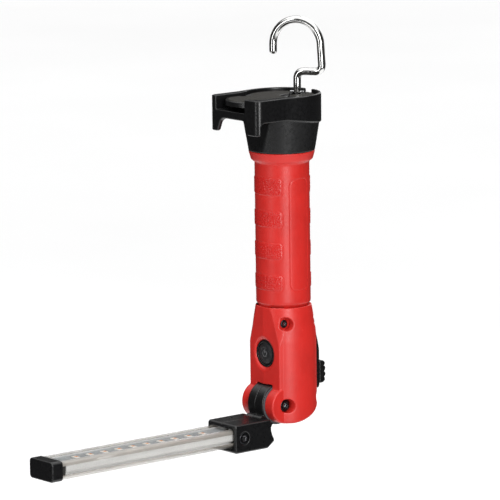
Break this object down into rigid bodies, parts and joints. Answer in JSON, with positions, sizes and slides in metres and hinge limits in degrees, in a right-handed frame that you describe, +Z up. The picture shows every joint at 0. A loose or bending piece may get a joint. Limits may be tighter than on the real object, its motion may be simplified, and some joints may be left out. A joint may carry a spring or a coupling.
{
  "type": "folding work light",
  "caption": "Rechargeable work light: round hand grip with a swivel hook at the top and a light bar that folds out from a hinge at the bottom.",
  "frame": {"origin": "where a rod touches the inside top of the hook, with the light hanging still", "axes": "+Z up along the handle, -Y the side the light bar opens to, +X the right-hand side"},
  "size_m": [0.0494, 0.2187, 0.2651],
  "materials": {
    "red_shell": "moulded, satin, fine grain",
    "black_shell": "glass-filled nylon, fine grain",
    "button_rubber": "soft matt",
    "seal_rubber": "matt",
    "hook_steel": "polished",
    "screw_steel": "black oxide",
    "spring_steel": "drawn wire",
    "spine_aluminium": "extruded, clear anodised",
    "lens_clear": "clear polycarbonate, slightly smoked",
    "washer_nylon": "natural nylon",
    "contact_brass": "plated",
    "cradle_plastic": "moulded",
    "cell_wrap": "shrink wrap",
    "circuit_board": "solder mask",
    "led_board_white": "white solder mask",
    "led_phosphor": "phosphor under clear cap",
    "lead_red": "silicone insulation"
  },
  "bodies": {
    "handle": {"grip_tube": "red_shell", "housing_front": "red_shell", "housing_rear": "red_shell", "head_bracket": "black_shell", "head_deck": "black_shell", "slide_bezel": "black_shell", "button_bezel": "black_shell", "head_seal": "seal_rubber", "housing_seal": "seal_rubber", "hinge_pin": "hook_steel", "rear_screw_upper_left": "screw_steel", "rear_screw_upper_right": "screw_steel", "rear_screw_lower_left": "screw_steel", "rear_screw_lower_right": "screw_steel", "side_screw_left": "screw_steel", "side_screw_right": "screw_steel", "hinge_screw_left": "screw_steel", "hinge_screw_right": "screw_steel", "battery_spring": "spring_steel", "slide_spring": "spring_steel", "hinge_washer_left": "washer_nylon", "hinge_washer_right": "washer_nylon", "hook_washer": "washer_nylon", "battery_contact": "contact_brass", "positive_contact": "contact_brass", "battery_cradle": "cradle_plastic", "tactile_switch": "cradle_plastic", "battery_cell": "cell_wrap", "driver_board": "circuit_board", "power_lead": "lead_red"},
    "arm": {"arm_base_left": "black_shell", "arm_base_right": "black_shell", "arm_screw_left": "screw_steel", "arm_screw_right": "screw_steel", "lens_tube": "lens_clear", "bar_spine": "spine_aluminium", "arm_lead": "seal_rubber", "led_board": "led_board_white", "bar_end_cap": "black_shell", "base_gasket": "seal_rubber", "led_01": "led_phosphor", "led_02": "led_phosphor", "led_03": "led_phosphor", "led_04": "led_phosphor", "led_05": "led_phosphor", "led_06": "led_phosphor", "led_07": "led_phosphor", "led_08": "led_phosphor", "led_09": "led_phosphor", "led_10": "led_phosphor"},
    "button": {"button_cap": "button_rubber"},
    "thumb_slide": {"lock_slide": "black_shell"},
    "lock": {"lock_pin": "hook_steel"},
    "hook_swivel": {"hook_drum": "screw_steel", "hook_clip": "hook_steel", "hook_pin": "hook_steel"},
    "hook_arm": {"hook": "hook_steel"}
  },
  "joints": [
    {"name": "arm_hinge", "type": "hinge", "parent": "handle", "child": "arm", "pos_m": [0, -0.0242, -0.23525], "axis": [1, 0, 0], "range_deg": [-90, 90]},
    {"name": "button_press", "type": "slide", "parent": "handle", "child": "button", "axis": [0, 1, 0], "range_m": [0, 0.001], "stiffness_N_per_m": 2000},
    {"name": "slide_travel", "type": "slide", "parent": "handle", "child": "thumb_slide", "axis": [0, 0, 1], "range_m": [0, 0.006], "stiffness_N_per_m": 400, "deforming": ["slide_spring"]},
    {"name": "lock_travel", "type": "slide", "parent": "handle", "child": "lock", "axis": [0, 1, 0], "range_m": [0, 0.0015]},
    {"name": "hook_turn", "type": "hinge", "parent": "handle", "child": "hook_swivel", "pos_m": [0, 0, -0.04255], "axis": [0, 0, 1], "continuous": true},
    {"name": "hook_fold", "type": "hinge", "parent": "hook_swivel", "child": "hook_arm", "pos_m": [0, 0, -0.04255], "axis": [0.866, 0.5, 0], "range_deg": [0, 70]}
  ],
  "couplings": [
    {"joint": "lock_travel", "follows": "slide_travel", "ratio": 0.25}
  ]
}
